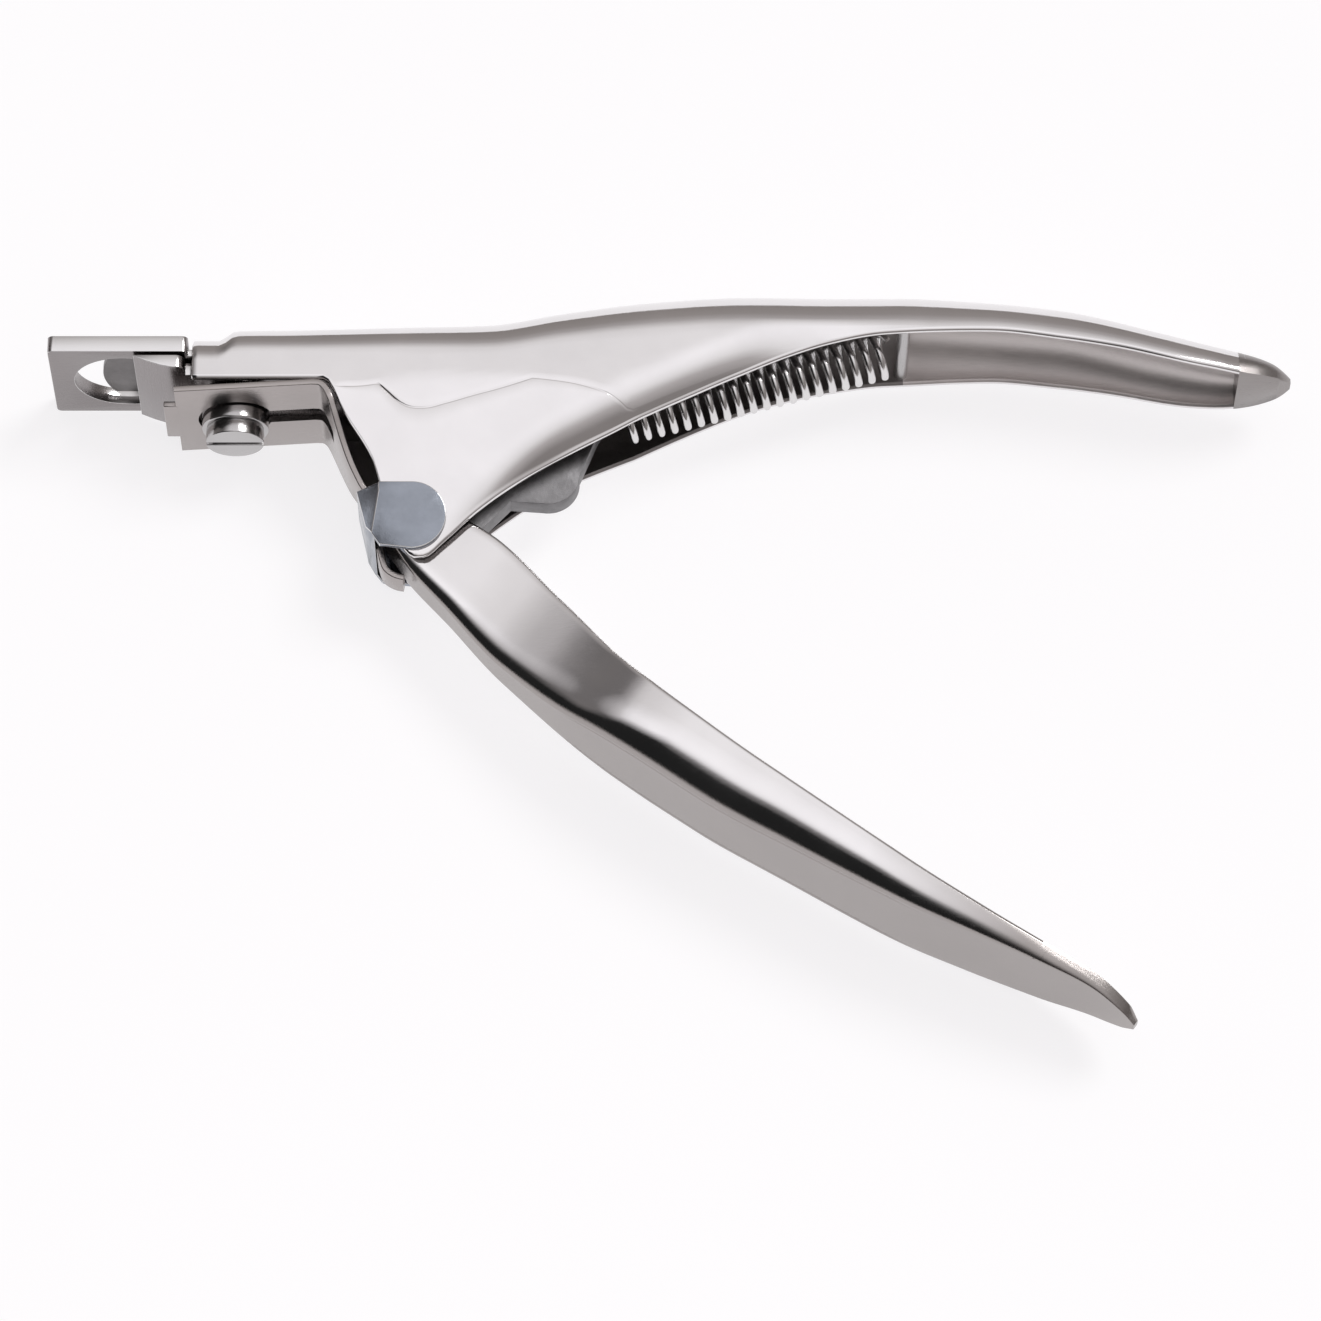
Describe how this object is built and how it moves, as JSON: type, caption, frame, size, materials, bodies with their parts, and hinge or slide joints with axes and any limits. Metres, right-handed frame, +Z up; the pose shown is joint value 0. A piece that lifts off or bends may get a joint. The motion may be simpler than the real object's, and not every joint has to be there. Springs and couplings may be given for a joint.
{
  "type": "guillotine nail clipper",
  "caption": "Plier-handled pet nail clipper in polished steel: squeezing a sprung lever pushes a straight blade across a ring",
  "frame": {"origin": "bottom centre of the bounding box, with the tool lying on its side and the lever fully open", "axes": "+X along the fixed handle, from the cutting ring to the handle's tip; +Y from the lever towards the fixed handle; +Z up, across the tool's width and along the pivot pin"},
  "size_m": [0.1308, 0.0812, 0.0142],
  "materials": {
    "polished_handle": "pressed sheet steel, mirror polished outside",
    "satin_plate": "satin ground, edges polished",
    "dull_stop": "dull ground",
    "rivet_steel": "plain turned",
    "satin_strap": "satin ground, edges bright",
    "polished_clip": "mirror polished with light wear",
    "pin_steel": "plain turned",
    "screw_steel": "turned, polished face",
    "spring_wire": "drawn wire, bright",
    "polished_lever": "pressed sheet steel, mirror polished",
    "cast_arm": "dull, slightly rough",
    "blade_steel": "hardened and ground",
    "slider_steel": "plain milled"
  },
  "bodies": {
    "root": {"upper_handle": "polished_handle", "ring_plate": "satin_plate", "nail_stop": "dull_stop", "head_rivets": "rivet_steel", "strap": "satin_strap", "saddle_clip": "polished_clip", "pivot_pin": "pin_steel", "pivot_washers": "pin_steel", "retaining_screw": "screw_steel", "screw_collar": "screw_steel", "spring_anchor_pin": "pin_steel", "return_spring": "spring_wire"},
    "lever_body": {"lever": "polished_lever", "drive_arm": "cast_arm", "arm_rivet": "rivet_steel", "drive_pin": "pin_steel", "spring_hook_pin": "pin_steel"},
    "blade_body": {"blade": "blade_steel", "blade_rivets": "rivet_steel", "blade_slider": "slider_steel"}
  },
  "joints": [
    {"name": "lever_pivot", "type": "hinge", "parent": "root", "child": "lever_body", "pos_m": [-0.0271, 0.0143, 0.0071], "axis": [0, 0, 1], "range_deg": [0, 25], "stiffness_Nm_per_rad": 0.15, "springref_deg": -20.05, "deforming": ["return_spring"]},
    {"name": "blade_slide", "type": "slide", "parent": "root", "child": "blade_body", "axis": [-1, 0, 0], "range_m": [0, 0.0076]}
  ],
  "couplings": [
    {"joint": "blade_slide", "follows": "lever_pivot", "m_per_rad": 0.01736}
  ]
}
